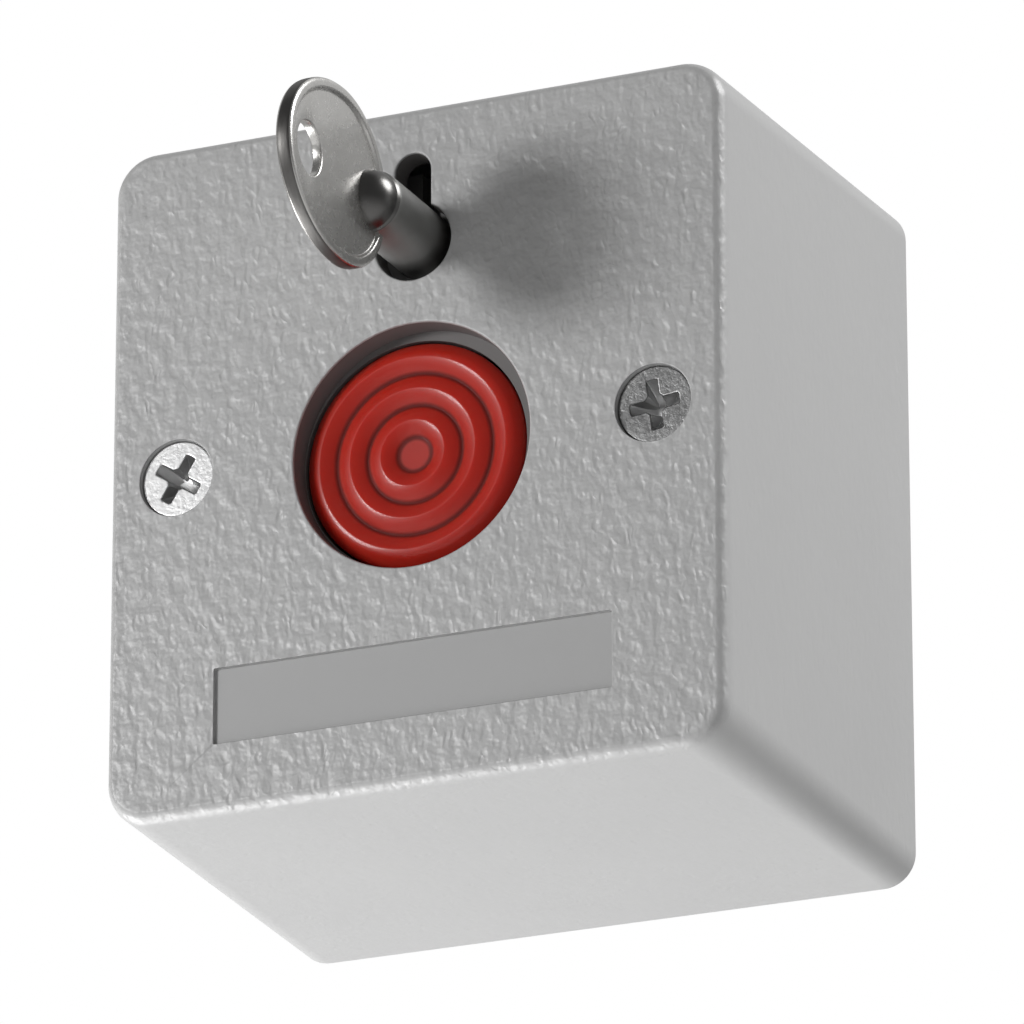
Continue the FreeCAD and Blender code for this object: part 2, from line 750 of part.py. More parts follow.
def make_nc_terminal():
    x = -terminal_pitch
    arm = box(x - arm_width / 2, x + arm_width / 2, block_y, strip_back_y, block_top - strip_edge, arm_top)
    tab = box(x - arm_width / 2, tab_past, block_y, strip_back_y, tab_bottom, tab_top)
    strip = fuse(strip_base(x, block_bottom + strip_edge), arm, tab)
    rivet = cylinder(contact_shank, block_y - 1, strip_back_y + 1, 0, contact_z)
    return cut(strip, screw_hole_cutter(x), rivet)


def make_no_terminal():
    x = terminal_pitch
    x0, x1 = x - arm_width / 2, x + arm_width / 2
    riser_top = block_top + strip_tongue
    foot = box(x0, x1, block_y, strip_back_y, block_top - strip_edge, riser_top)
    riser = box(x0, x1, block_y, no_arm_y + strip_thickness, riser_top - strip_thickness, riser_top)
    arm = box(x0, x1, no_arm_y, no_arm_y + strip_thickness, riser_top - strip_thickness, arm_top)
    tab = box(-tab_past, x1, no_arm_y, no_arm_y + strip_thickness, tab_bottom, tab_top)
    strip = fuse(strip_base(x, block_bottom + strip_edge), foot, riser, arm, tab)
    rivet = cylinder(contact_shank, no_arm_y - 1, no_arm_y + strip_thickness + 1, 0, contact_z)
    return cut(strip, screw_hole_cutter(x), rivet)


def make_com_terminal():
    half = leaf_width / 2 + leaf_shoulder
    tongue = box(-half, half, block_y, strip_back_y, block_top - strip_edge, block_top + strip_tongue)
    strip = fuse(strip_base(0.0, block_bottom + strip_edge), tongue)
    reach = leaf_thickness / 2 + leaf_slot_play
    slot_half = leaf_width / 2 - leaf_shoulder + leaf_slot_play
    slot = box(-slot_half, slot_half, block_y - 1, strip_back_y + 1, leaf_root_z - reach, leaf_root_z + reach)
    return cut(strip, screw_hole_cutter(0.0), slot)


def make_moving_leaf():
    # A flat leaf whose bent root hooks through the slot of the common strip and rocks there on a round bead.
    half = leaf_width / 2
    root_half = half - leaf_shoulder
    z0 = leaf_root_z - leaf_thickness / 2
    blade = box(-half, half, leaf_front_y, leaf_back_y, z0, leaf_top)
    root = box(-root_half, root_half, block_y, leaf_back_y, z0, z0 + leaf_thickness)
    pivot_y = (block_y + strip_back_y) / 2
    bead = Part.makeCylinder(leaf_bead_radius, 2 * root_half, V(-root_half, pivot_y, leaf_root_z), V(1, 0, 0))
    rivet = cylinder(contact_shank, leaf_front_y - 1, leaf_back_y + 1, 0, contact_z)
    return fuse(blade, root, bead).cut(rivet)


def make_moving_contact():
    return fuse(cylinder(contact_radius, moving_front_y, leaf_front_y, 0, contact_z),
                cylinder(contact_shank, leaf_front_y, leaf_back_y, 0, contact_z),
                cylinder(contact_radius, leaf_back_y, moving_back_y, 0, contact_z))


def make_fixed_contacts():
    nc = fuse(cylinder(contact_radius, strip_back_y, nc_face_y, 0, contact_z),
              cylinder(contact_shank, block_y, strip_back_y, 0, contact_z))
    no = fuse(cylinder(contact_radius, no_face_y, no_arm_y, 0, contact_z),
              cylinder(contact_shank, no_arm_y, no_arm_y + strip_thickness, 0, contact_z))
    return Part.makeCompound([nc, no])


def make_clamp_washers():
    half = washer_side / 2
    washers = []
    for x in (-terminal_pitch, 0.0, terminal_pitch):
        plate = box(x - half, x + half, strip_back_y, strip_back_y + washer_thickness, terminal_z - half,
                    terminal_z + half)
        washers.append(plate.cut(screw_hole_cutter(x)))
    return Part.makeCompound(washers)


def make_terminal_screws():
    seat = strip_back_y + washer_thickness
    tip = block_y - terminal_screw_length
    screws = [pan_screw(x, terminal_z, seat, terminal_screw_head, terminal_screw_head_height, terminal_screw_radius, tip)
              for x in (-terminal_pitch, 0.0, terminal_pitch)]
    return Part.makeCompound(screws)


pieces = {
    "front_cover": make_front_cover,
    "base_plate": make_base_plate,
    "cover_screws": make_cover_screws,
    "push_button": make_push_button,
    "plunger": make_plunger,
    "plunger_clip": make_plunger_clip,
    "return_spring": make_return_spring,
    "chassis": make_chassis,
    "chassis_screws": make_chassis_screws,
    "latch_slider": make_latch_slider,
    "latch_spring": make_latch_spring,
    "reset_cam": make_reset_cam,
    "key_post": make_key_post,
    "reset_key": make_reset_key,
    "moving_leaf": make_moving_leaf,
    "moving_contact": make_moving_contact,
    "com_terminal": make_com_terminal,
    "nc_terminal": make_nc_terminal,
    "no_terminal": make_no_terminal,
    "fixed_contacts": make_fixed_contacts,
    "clamp_washers": make_clamp_washers,
    "terminal_screws": make_terminal_screws,
}

os.makedirs("parts", exist_ok=True)
for name, make in pieces.items():
    shape = make()
    print(name, "solids", len(shape.Solids), "valid", shape.isValid(), "volume", round(shape.Volume, 2))
    shape.exportStep("parts/" + name + ".step")
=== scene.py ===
# %% [markdown]
# # A wired panic button, dressed for its photograph
#
# The imported part already says where every piece is and how it moves. This lesson gives the pieces that
# show a finer mesh and a finish: a leather-grained cover, a ridged red button, a plated key and two
# countersunk screws. The two springs are drawn again as wound wire. The other
# pieces keep their solids and only get a finish.

# %% Load the imported part
import math

import bmesh
import bpy
from mathutils import Matrix, Vector


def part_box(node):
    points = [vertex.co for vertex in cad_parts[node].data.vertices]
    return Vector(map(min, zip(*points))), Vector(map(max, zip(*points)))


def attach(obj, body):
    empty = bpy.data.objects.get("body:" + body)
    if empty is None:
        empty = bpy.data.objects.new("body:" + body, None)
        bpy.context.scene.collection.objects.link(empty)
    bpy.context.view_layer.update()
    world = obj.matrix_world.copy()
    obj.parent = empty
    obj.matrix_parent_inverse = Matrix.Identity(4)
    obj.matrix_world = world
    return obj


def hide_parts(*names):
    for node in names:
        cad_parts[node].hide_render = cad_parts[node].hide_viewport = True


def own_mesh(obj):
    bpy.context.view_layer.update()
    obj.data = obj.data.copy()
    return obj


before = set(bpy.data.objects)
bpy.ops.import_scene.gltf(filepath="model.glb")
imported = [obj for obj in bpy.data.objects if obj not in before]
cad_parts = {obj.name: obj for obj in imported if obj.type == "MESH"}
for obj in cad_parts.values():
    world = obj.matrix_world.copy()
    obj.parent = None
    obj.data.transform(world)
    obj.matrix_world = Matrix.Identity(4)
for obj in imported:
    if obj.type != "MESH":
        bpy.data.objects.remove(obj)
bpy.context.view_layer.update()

# %% [markdown]
# ## Sizes
#
# Lengths are in metres. The big sizes are read from the solids, so the dressed pieces sit where the
# solids do. The small ones, such as lips and ridges, are named where they are first needed.

# %% Sizes read from the solids
MM = 0.001
cover_low, cover_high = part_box("front_cover")
cap_low, cap_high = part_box("push_button")
key_low, key_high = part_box("reset_key")
screws_low, screws_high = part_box("cover_screws")

face_y = cover_low.y
depth = cover_high.y - cover_low.y
draft_run = 0.7 * MM
face_half_width = cover_high.x - draft_run
face_half_height = cover_high.z - draft_run
button_x = (cap_low.x + cap_high.x) / 2
button_z = (cap_low.z + cap_high.z) / 2
cap_radius = (cap_high.x - cap_low.x) / 2
key_z = (key_low.z + key_high.z) / 2
screw_head_radius = 3.3 * MM
screw_x = screws_high.x - screw_head_radius
screw_face_y = screws_low.y
print("face", round(2 * face_half_width / MM, 2), "by", round(2 * face_half_height / MM, 2), "mm")
print("depth", round(depth / MM, 2), "mm, button at", round(button_x / MM, 2), round(button_z / MM, 2))
print("key at", round(key_z / MM, 2))

# %% [markdown]
# ## Rings and bands
#
# Everything here is either turned on a lathe or moulded in layers, so one idea builds it all: rings of
# points at different depths, joined by bands of quads. A flat face with holes is filled between its
# rings. A boolean would be shorter to write, but its edges come out sharp and shade badly. Rings let
# every edge have the small radius that catches the light.

# %% Ring, band and fill
def ring_of(bm, outline, y):
    return [bm.verts.new((x, y, z)) for x, z in outline]


def add_band(bm, first, second, material=0):
    count = len(first)
    for i in range(count):
        j = (i + 1) % count
        face = bm.faces.new((first[i], first[j], second[j], second[i]))
        face.material_index = material
        face.smooth = True


def add_bands(bm, rings, material=0):
    for first, second in zip(rings, rings[1:]):
        add_band(bm, first, second, material)


def fill_between(bm, rings, material=0):
    # A flat face whose first ring is its outside and whose other rings are its holes.
    edges = []
    for ring in rings:
        for a, b in zip(ring, ring[1:] + ring[:1]):
            edges.append(bm.edges.get((a, b)) or bm.edges.new((a, b)))
    made = bmesh.ops.triangle_fill(bm, use_beauty=True, use_dissolve=False, edges=edges)
    for face in made["geom"]:
        if isinstance(face, bmesh.types.BMFace):
            face.material_index = material
            face.smooth = True


# %% From rings to a piece
def finish_mesh(bm, name, body, sharp=40):
    bmesh.ops.recalc_face_normals(bm, faces=bm.faces)
    mesh = bpy.data.meshes.new(name)
    bm.to_mesh(mesh)
    bm.free()
    mesh.set_sharp_from_angle(angle=math.radians(sharp))
    piece = bpy.data.objects.new(name, mesh)
    bpy.context.scene.collection.objects.link(piece)
    # Flat faces keep an even shade next to their rounded edges.
    even = piece.modifiers.new("even shading", "WEIGHTED_NORMAL")
    even.keep_sharp = True
    even.weight = 80
    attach(piece, body)
    print(name, len(mesh.polygons), "faces")
    return piece


# %% [markdown]
# ## Outlines and paths
#
# An outline is a closed row of points in the plane of the face. A path is an open row of radius and depth
# that is spun round an axis, as on a lathe. Its corners are cut back and rounded first, because a turned
# or moulded edge always has a small radius. A lip is that same rounding round a hole of any shape: the
# outline grows a little as it nears the face.

# %% Outlines
def arc_steps(count):
    return [math.radians(90) * i / count for i in range(count + 1)]


def round_box(half_width, half_height, radius, x=0.0, z=0.0, steps=14):
    points = []
    for quarter, (sx, sz) in enumerate(((1, 1), (-1, 1), (-1, -1), (1, -1))):
        cx, cz = x + sx * (half_width - radius), z + sz * (half_height - radius)
        for angle in arc_steps(steps):
            turn = angle + quarter * math.pi / 2
            points.append((cx + radius * math.cos(turn), cz + radius * math.sin(turn)))
    return points


def circle(radius, x=0.0, z=0.0, count=160):
    turns = [2 * math.pi * i / count for i in range(count)]
    return [(x + radius * math.cos(turn), z + radius * math.sin(turn)) for turn in turns]


def lip_steps(lip, count=5):
    # How far the outline is grown, and how far it is in, over a rounded lip.
    return [(lip * (1 - math.sin(a)), lip * (1 - math.cos(a))) for a in arc_steps(count)]


print("a lip of 1 mm in 2 steps", [(round(a, 2), round(b, 2)) for a, b in lip_steps(1.0, 2)])


# %% Paths and the lathe
tiny = 1e-7


def soften(corners, steps=6):
    # A path through corners (a, b, size), each corner cut back by its size and rounded.
    path = []
    for i, (a, b, size) in enumerate(corners):
        if size == 0 or i in (0, len(corners) - 1):
            path.append((a, b))
            continue
        here = Vector((a, b))
        before, after = Vector(corners[i - 1][:2]), Vector(corners[i + 1][:2])
        start = here + (before - here).normalized() * min(size, (before - here).length / 2)
        end = here + (after - here).normalized() * min(size, (after - here).length / 2)
        for k in range(steps + 1):
            t = k / steps
            point = start * (1 - t) ** 2 + here * 2 * t * (1 - t) + end * t ** 2
            path.append((point.x, point.y))
    return path


def turn_on_lathe(bm, path, x, z, count=192):
    # Spins a path of (radius, y) round the line through x, z. A radius of nothing is a pole.
    rings = []
    for radius, y in path:
        if radius < tiny:
            rings.append([bm.verts.new((x, y, z))])
        else:
            rings.append(ring_of(bm, circle(radius, x, z, count), y))
    for first, second in zip(rings, rings[1:]):
        if len(first) > 1 and len(second) > 1:
            add_band(bm, first, second)
            continue
        pole, rim = (first[0], second) if len(first) == 1 else (second[0], first)
        for i in range(len(rim)):
            face = bm.faces.new((rim[i], rim[(i + 1) % len(rim)], pole))
            face.smooth = True
    return rings


# %% [markdown]
# ## The cover
#
# A deep box moulded in one shot: sides that widen towards the back so that it leaves its tool, round
# corners that get a little tighter on the way, a soft front edge. It could be a rounded cube with
# cutters, but rings give every depth its own corner, as the tool does.

# %% The walls
corner_radius = 3.8 * MM
back_corner_radius = 2.9 * MM
smallest_radius = 0.6 * MM
edge_depth = 1.5 * MM
edge_inset = 0.9 * MM
back_edge = 0.25 * MM
side_shares = (0.15, 0.35, 0.6, 0.85)
wall = 2.0 * MM
face_wall = 2.4 * MM
inner_y = face_y + face_wall


def cover_outline(y, inset=0.0):
    # The outside at a depth y, or a line that runs inside it by the inset.
    share = (y - face_y) / depth
    run = draft_run * share - inset
    radius = max(corner_radius + (back_corner_radius - corner_radius) * share - inset, smallest_radius)
    return round_box(face_half_width + run, face_half_height + run, radius)


def add_walls(bm):
    outside = []
    for angle in arc_steps(10):
        y = face_y + edge_depth * (1 - math.cos(angle))
        outside.append(ring_of(bm, cover_outline(y, edge_inset * (1 - math.sin(angle))), y))
    side_ys = [face_y + depth * share for share in side_shares]
    outside += [ring_of(bm, cover_outline(y), y) for y in side_ys]
    for angle in arc_steps(3):
        y = -back_edge * (1 - math.sin(angle))
        outside.append(ring_of(bm, cover_outline(y, back_edge * (1 - math.cos(angle))), y))
    inside = [ring_of(bm, cover_outline(y, wall), y) for y in (0.0, inner_y / 2, inner_y)]
    add_bands(bm, outside + inside)
    return outside[0], inside[-1]


print("walls widen by", round(draft_run / MM, 2), "mm on each side over", round(depth / MM, 1), "mm")

# %% [markdown]
# ## Holes in the cover
#
# Each hole is a small lip, a straight wall and whatever stands behind it: a collar that guides the
# button, a boss that the screw goes through. Every helper gives back its ring on the face and its ring on
# the inside, so the two flat faces can be filled round all of them at the end. The walls of the two big
# holes get a slot of their own, a darker plastic that is painted shade, deeper than the lamps cast there.

# %% The button's hole and the keyhole
hole_lip = 0.2 * MM
button_hole_x = -0.1 * MM
button_hole_z = -0.3 * MM
button_hole_radius = 10.75 * MM
collar_bore = cap_radius + 0.2 * MM
collar_radius = 12.15 * MM
collar_length = 6.0 * MM
keyhole_z = 17.8 * MM
keyhole_radius = 3.47 * MM
keyhole_slot_half = 1.625 * MM
keyhole_slot_reach = 7.9 * MM
keyhole_slot_top = keyhole_z + keyhole_slot_reach - keyhole_slot_half
# Slot 2 is a darker plastic: painted shade on the walls of the two big holes.
label_slot, hole_shade_slot = 1, 2


def hole_ring(bm, radius, y):
    return ring_of(bm, circle(radius, button_hole_x, button_hole_z), y)


def add_button_hole(bm):
    lip = [hole_ring(bm, button_hole_radius + grow, face_y + sink) for grow, sink in lip_steps(hole_lip)]
    well = [lip[-1], hole_ring(bm, button_hole_radius, inner_y)]
    add_bands(bm, lip)
    add_bands(bm, well, hole_shade_slot)
    collar_end = inner_y + collar_length
    bore = [ring_of(bm, circle(collar_bore, button_x, button_z), y) for y in (inner_y, collar_end)]
    collar = [hole_ring(bm, collar_radius, collar_end), hole_ring(bm, collar_radius, inner_y)]
    add_bands(bm, bore, hole_shade_slot)
    add_bands(bm, collar)
    fill_between(bm, [well[-1], bore[0]], hole_shade_slot)
    fill_between(bm, [collar[0], bore[-1]])
    return lip[0], collar[-1]


def keyhole_outline(grow, steps=60, end_steps=20):
    # A round hole, open at the top into a slot with a round end.
    radius, half = keyhole_radius + grow, keyhole_slot_half + grow
    opening = math.asin(half / radius)
    points = []
    for i in range(steps + 1):
        turn = opening + (2 * math.pi - 2 * opening) * i / steps
        points.append((radius * math.sin(turn), keyhole_z + radius * math.cos(turn)))
    for i in range(end_steps + 1):
        turn = math.pi * (i / end_steps - 0.5)
        points.append((half * math.sin(turn), keyhole_slot_top + half * math.cos(turn)))
    return points


def add_keyhole(bm):
    lip = [ring_of(bm, keyhole_outline(grow), face_y + sink) for grow, sink in lip_steps(hole_lip)]
    well = [lip[-1], ring_of(bm, keyhole_outline(0.0), inner_y)]
    add_bands(bm, lip)
    add_bands(bm, well, hole_shade_slot)
    return lip[0], well[-1]


print("room round the cap", round((button_hole_radius - cap_radius) / MM, 2), "mm")

# %% Screw seats, posts and the name strip
seat_radius = 3.36 * MM
seat_depth = 0.7 * MM
seat_lip = 0.12 * MM
screw_hole_radius = 2.0 * MM
boss_radius = 4.0 * MM
boss_length = 3.6 * MM
post_radius = 3.0 * MM
post_length = 13.6 * MM
post_places = ((-13.0 * MM, 19.5 * MM), (-13.0 * MM, -19.0 * MM), (13.0 * MM, -19.0 * MM))
label_half_width = 17.95 * MM
label_half_height = 3.3 * MM
label_z = -20.8 * MM
label_depth = 0.35 * MM
label_lip = 0.07 * MM
label_corner = 0.15 * MM


def add_screw_seat(bm, x):
    cone_end = face_y + seat_depth + seat_radius - screw_hole_radius
    boss_end = inner_y + boss_length
    path = [(seat_radius + grow, face_y + sink) for grow, sink in lip_steps(seat_lip)]
    path += [(seat_radius, face_y + seat_depth), (screw_hole_radius, cone_end),
             (screw_hole_radius, boss_end), (boss_radius, boss_end), (boss_radius, inner_y)]
    seat = [ring_of(bm, circle(radius, x, 0.0, count=96), y) for radius, y in path]
    add_bands(bm, seat)
    return seat[0], seat[-1]


def add_post(bm, x, z):
    post = [ring_of(bm, circle(post_radius, x, z, count=48), y) for y in (inner_y, inner_y + post_length)]
    add_bands(bm, post)
    fill_between(bm, post[1:])
    return post[0]


def add_label(bm):
    label = []
    for grow, sink in lip_steps(label_lip, 3) + [(0.0, label_depth)]:
        half_width, half_height = label_half_width + grow, label_half_height + grow
        outline = round_box(half_width, half_height, label_corner + grow, 0.0, label_z, steps=4)
        label.append(ring_of(bm, outline, face_y + sink))
    add_bands(bm, label)
    fill_between(bm, label[-1:], label_slot)
    return label[0]


print("name strip", round(2 * label_half_width / MM, 1), "by", round(2 * label_half_height / MM, 1), "mm")


# %% Build the cover
def build_cover():
    bm = bmesh.new()
    openings = [add_walls(bm), add_button_hole(bm), add_keyhole(bm)]
    openings += [add_screw_seat(bm, side * screw_x) for side in (-1, 1)]
    posts = [add_post(bm, x, z) for x, z in post_places]
    fronts = [front for front, inner in openings] + [add_label(bm)]
    inners = [inner for front, inner in openings] + posts
    fill_between(bm, fronts)
    fill_between(bm, inners)
    return finish_mesh(bm, "cover_moulding", "housing")


cover = build_cover()
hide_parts("front_cover")

# %% [markdown]
# ## The button
#
# A turned cap with three ridges like waves: broad flanks that meet in narrow grooves, and crests that
# catch a thin line of light. Outside the last crest the cap falls only a little to its rim. The path is
# softened at each corner, because a moulded ridge has no sharp edge.

# %% Button sizes
cap_floor_y = face_y + 2.25 * MM
cap_wall = 1.6 * MM
ridge_radii = (2.9 * MM, 5.7 * MM, 8.5 * MM)
ridge_height = 0.65 * MM
ridge_run = 1.36 * MM
ridge_sharpness = 0.5
ridge_steps = 8
crest_round = 0.25 * MM
rim_drop = 0.6 * MM
rim_bevel = 0.35 * MM
shoulder_place = (0.5 * MM, 0.15 * MM)
socket_radius = 2.9 * MM
socket_wall = 1.3 * MM
soft_edge = 0.3 * MM
side_edge = 0.15 * MM
inner_edge = 0.2 * MM
socket_edge = 0.1 * MM
print("crests lie", round((cap_floor_y - ridge_height - face_y) / MM, 2), "mm behind the face")


# %% Turn the button
def cap_path():
    # A row of (radius, y) from the middle of the face, over the ridges and the rim, to the socket behind.
    crest_y = cap_floor_y - ridge_height
    rim_y = crest_y + rim_drop
    corners = [(0.0, cap_floor_y, 0.0)]
    for radius in ridge_radii:
        for step in range(-ridge_steps, ridge_steps + 1):
            share = step / ridge_steps
            fall = ridge_height * (ridge_sharpness * abs(share) + (1 - ridge_sharpness) * share ** 2)
            corners.append((radius + share * ridge_run, crest_y + fall, crest_round))
    # Past the last crest, the ridge gives way to a shoulder.
    while corners[-1][0] > ridge_radii[-1]:
        corners.pop()
    out, down = shoulder_place
    corners += [(ridge_radii[-1] + out, crest_y + down, soft_edge),
                (cap_radius - rim_bevel, rim_y, soft_edge)]
    under_y, back_y = cap_floor_y + cap_wall, cap_high.y
    inner = cap_radius - cap_wall
    socket_out = socket_radius + socket_wall
    corners += [(cap_radius, rim_y + rim_bevel, side_edge), (cap_radius, back_y, inner_edge),
                (inner, back_y, inner_edge), (inner, under_y, inner_edge), (socket_out, under_y, inner_edge),
                (socket_out, back_y, socket_edge), (socket_radius, back_y, socket_edge),
                (socket_radius, under_y, socket_edge), (0.0, under_y, 0.0)]
    return soften(corners)


def build_cap():
    bm = bmesh.new()
    turn_on_lathe(bm, cap_path(), button_x, button_z, count=224)
    return finish_mesh(bm, "button_cap", "button")


cap = build_cap()
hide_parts("push_button")

# %% [markdown]
# ## The cover screws
#
# Countersunk heads with a cross recess. A real recess is a tapered cross whose inner corners are cut
# off, so its outline is drawn once and shrinks with depth. The head is a flat face between its rim and
# that cross.

# %% The cross recess
cross_reach = 2.2 * MM
cross_half = 0.5 * MM
cross_corner = 0.85 * MM
cross_depth = 1.9 * MM
cross_taper = 0.4
cross_turns = (58.0, 7.0)
cross_layers = ((0.86, 0.35), (0.62, 0.75), (0.35, 1.0))
cross_lip = 0.08 * MM
cross_border = 0.13 * MM
arm_cut = 0.2
arm_flat = 0.6
recess_slot = 1


def cross_outline(x, turn, grow, narrow=1.0):
    # One arm of the cross, repeated four times round. It gets short faster than it gets narrow.
    reach, half = cross_reach * narrow + grow, cross_half * narrow ** cross_taper + grow
    corner, cut, flat = cross_corner * narrow, reach - arm_cut * half, arm_flat * half
    arm = [(corner, -half), (cut, -half), (reach, -flat), (reach, flat), (cut, half), (corner, half)]
    points = []
    for quarter in range(4):
        angle = math.radians(turn + 90 * quarter)
        cos, sin = math.cos(angle), math.sin(angle)
        points += [(x + a * cos - b * sin, a * sin + b * cos) for a, b in arm]
    return points


def add_cross(bm, x, turn):
    # The first ring is a flat border, so that the lip's rounding doesn't tilt the shading of the face.
    steps = [(cross_border, 0.0)] + lip_steps(cross_lip, 3)
    lip = [ring_of(bm, cross_outline(x, turn, grow), screw_face_y + sink) for grow, sink in steps]
    cross = [lip[-1]]
    for narrow, share in cross_layers:
        cross.append(ring_of(bm, cross_outline(x, turn, 0.0, narrow), screw_face_y + share * cross_depth))
    add_bands(bm, lip)
    add_bands(bm, cross, recess_slot)
    fill_between(bm, cross[-1:], recess_slot)
    return lip[0]


print("recess", round(2 * cross_reach / MM, 1), "mm across,", round(cross_depth / MM, 1), "mm deep")

# %% Build the screws
screw_radius = 1.7 * MM
screw_rim = 0.25 * MM
screw_length = 14.0 * MM
head_margin = 0.15 * MM
head_edge = 0.12 * MM
rim_edge = 0.06 * MM
under_head_edge = 0.2 * MM
tip_edge = 0.3 * MM


def build_screw(side, turn):
    bm = bmesh.new()
    x = side * screw_x
    rim_end = screw_face_y + screw_rim
    cone_end = rim_end + screw_head_radius - screw_radius
    tip = screw_face_y + screw_length
    path = soften([(screw_head_radius - head_margin, screw_face_y, 0.0),
                   (screw_head_radius, screw_face_y, head_edge), (screw_head_radius, rim_end, rim_edge),
                   (screw_radius, cone_end, under_head_edge), (screw_radius, tip, tip_edge), (0.0, tip, 0.0)])
    outside = turn_on_lathe(bm, path, x, 0.0, count=96)
    fill_between(bm, [outside[0], add_cross(bm, x, turn)])
    piece = finish_mesh(bm, "cover_screw_left" if side < 0 else "cover_screw_right", "housing")
    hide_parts("cover_screws")
    return piece


screws = [build_screw(side, turn) for side, turn in zip((-1, 1), cross_turns)]

# %% [markdown]
# ## The key
#
# The bow is an oval coin with a raised rim, dished on both sides, with a hole for the ring. The shank is
# turned: a matt tube, a shoulder, a dark neck with a domed end that is brazed into the bow. The bow is
# built from rings that run over its edge from one dish to the other. A stamped blank has one crisp edge
# and one rolled edge, so the two are rounded by different amounts.

# %% The bow
bow_centre_y = face_y - 14.9 * MM
bow_outer_reach = 10.5 * MM
bow_inner_reach = 8.4 * MM
bow_half_height = 7.7 * MM
bow_half_thickness = 0.725 * MM
bow_rim = 0.95 * MM
bow_dish = 0.28 * MM
bow_edge_inset = 0.05 * MM
dish_run = 0.35 * MM
dish_ease = 0.12 * MM
rim_round = 0.14 * MM
crisp_edge = 0.42 * MM
rolled_edge = 0.62 * MM
ring_hole_y = face_y - 21.1 * MM
ring_hole_radius = 2.3 * MM
ring_hole_lip = 0.15 * MM
# The key's finishes are hung on it in this order, after the bow's own at 0.
matt_slot, edge_slot, neck_slot = 1, 2, 3


def bow_ring(bm, inset, x, count=200):
    ring = []
    for i in range(count):
        turn = 2 * math.pi * i / count
        reach = bow_inner_reach if math.cos(turn) > 0 else bow_outer_reach
        y = bow_centre_y + (reach - inset) * math.cos(turn)
        ring.append(bm.verts.new((x, y, key_z + (bow_half_height - inset) * math.sin(turn))))
    return ring


def ring_hole_ring(bm, grow, x):
    return [bm.verts.new((x, y, z)) for y, z in circle(ring_hole_radius + grow, ring_hole_y, key_z, count=72)]


def add_bow(bm):
    half, floor_x = bow_half_thickness, bow_half_thickness - bow_dish
    floor_edge, rim_foot, rim_top = bow_rim + dish_run, bow_rim + dish_ease, bow_rim - dish_ease
    over = soften([(floor_edge, floor_x, 0.0), (rim_foot, floor_x, dish_ease), (rim_top, half, rim_round),
                   (0.0, half, crisp_edge), (0.0, -half, rolled_edge),
                   (rim_top, -half, rim_round), (rim_foot, -floor_x, dish_ease), (floor_edge, -floor_x, 0.0)])
    rings = [bow_ring(bm, inset, x) for inset, x in over]
    for i, (first, second) in enumerate(zip(over, over[1:])):
        on_edge = max(first[0], second[0]) < bow_edge_inset
        add_band(bm, rings[i], rings[i + 1], edge_slot if on_edge else 0)
    steps = lip_steps(ring_hole_lip, 4)
    hole = [ring_hole_ring(bm, grow, floor_x - sink) for grow, sink in steps]
    hole += [ring_hole_ring(bm, grow, -floor_x + sink) for grow, sink in reversed(steps)]
    add_bands(bm, hole)
    fill_between(bm, [rings[0], hole[0]])
    fill_between(bm, [rings[-1], hole[-1]])


bow_length = bow_outer_reach + bow_inner_reach
print("bow", round(bow_length / MM, 1), "by", round(2 * bow_half_height / MM, 1), "mm")

# %% The shank
shank_radius = 2.85 * MM
shank_end_y = face_y + 11.3 * MM
shank_edge = 0.3 * MM
bore_radius = 1.35 * MM
bore_depth = 10.5 * MM
bore_edge = 0.2 * MM
neck_radius = 2.65 * MM
neck_y = face_y - 8.2 * MM
neck_end_y = face_y - 11.6 * MM
neck_edge = 0.3 * MM
shoulder_run = 0.6 * MM
shoulder_out = 0.25 * MM
shoulder_edge = 0.35 * MM
matt_start_y = neck_y - 0.3 * MM


def shank_path():
    # A row of (radius, y) from the tip of the dome, over the shoulder, to the floor of the bore.
    dome_y = neck_end_y + neck_radius
    bore_end = shank_end_y - bore_depth
    dome = [(neck_radius * math.sin(a), dome_y - neck_radius * math.cos(a)) for a in arc_steps(14)]
    rest = soften([(neck_radius, dome_y, 0.0), (neck_radius, neck_y - shoulder_run, neck_edge),
                   (shank_radius, neck_y - shoulder_out, shoulder_edge),
                   (shank_radius, shank_end_y, shank_edge), (bore_radius, shank_end_y, bore_edge),
                   (bore_radius, bore_end, 0.0), (0.0, bore_end, 0.0)])
    return dome + rest[1:]


def add_shank(bm):
    path = shank_path()
    rings = turn_on_lathe(bm, path, 0.0, key_z, count=120)
    matt_from = min(y for radius, y in path if y > matt_start_y)
    for vert in (vert for ring in rings for vert in ring):
        for face in vert.link_faces:
            is_matt = min(v.co.y for v in face.verts) > matt_from - tiny
            face.material_index = matt_slot if is_matt else neck_slot


print("shank", round(2 * shank_radius / MM, 2), "mm across, its neck", round(2 * neck_radius / MM, 2), "mm")

# %% The bit, and the whole key
bit_half = 1.3 * MM
bit_reach = 7.3 * MM
bit_length = 4.0 * MM
bit_setback = 0.3 * MM
bit_corner = 0.6 * MM
bit_ease = 0.2 * MM
bit_root = 0.2 * MM


def add_bit(bm):
    start = shank_end_y - bit_setback - bit_length
    end = start + bit_length
    middle_z = key_z + (bit_reach + bore_radius) / 2
    outline = round_box(bit_half, (bit_reach - bore_radius) / 2, bit_corner, 0.0, middle_z, steps=5)
    low, high = key_z + bore_radius + bit_root, key_z + bit_reach
    rings = []
    for ease, y in ((bit_ease, start), (0.0, start + bit_ease), (0.0, end - bit_ease), (bit_ease, end)):
        moved = [(x * (bit_half - ease) / bit_half, min(max(z, low), high - ease)) for x, z in outline]
        rings.append(ring_of(bm, moved, y))
    add_bands(bm, rings, matt_slot)
    fill_between(bm, rings[:1], matt_slot)
    fill_between(bm, rings[-1:], matt_slot)


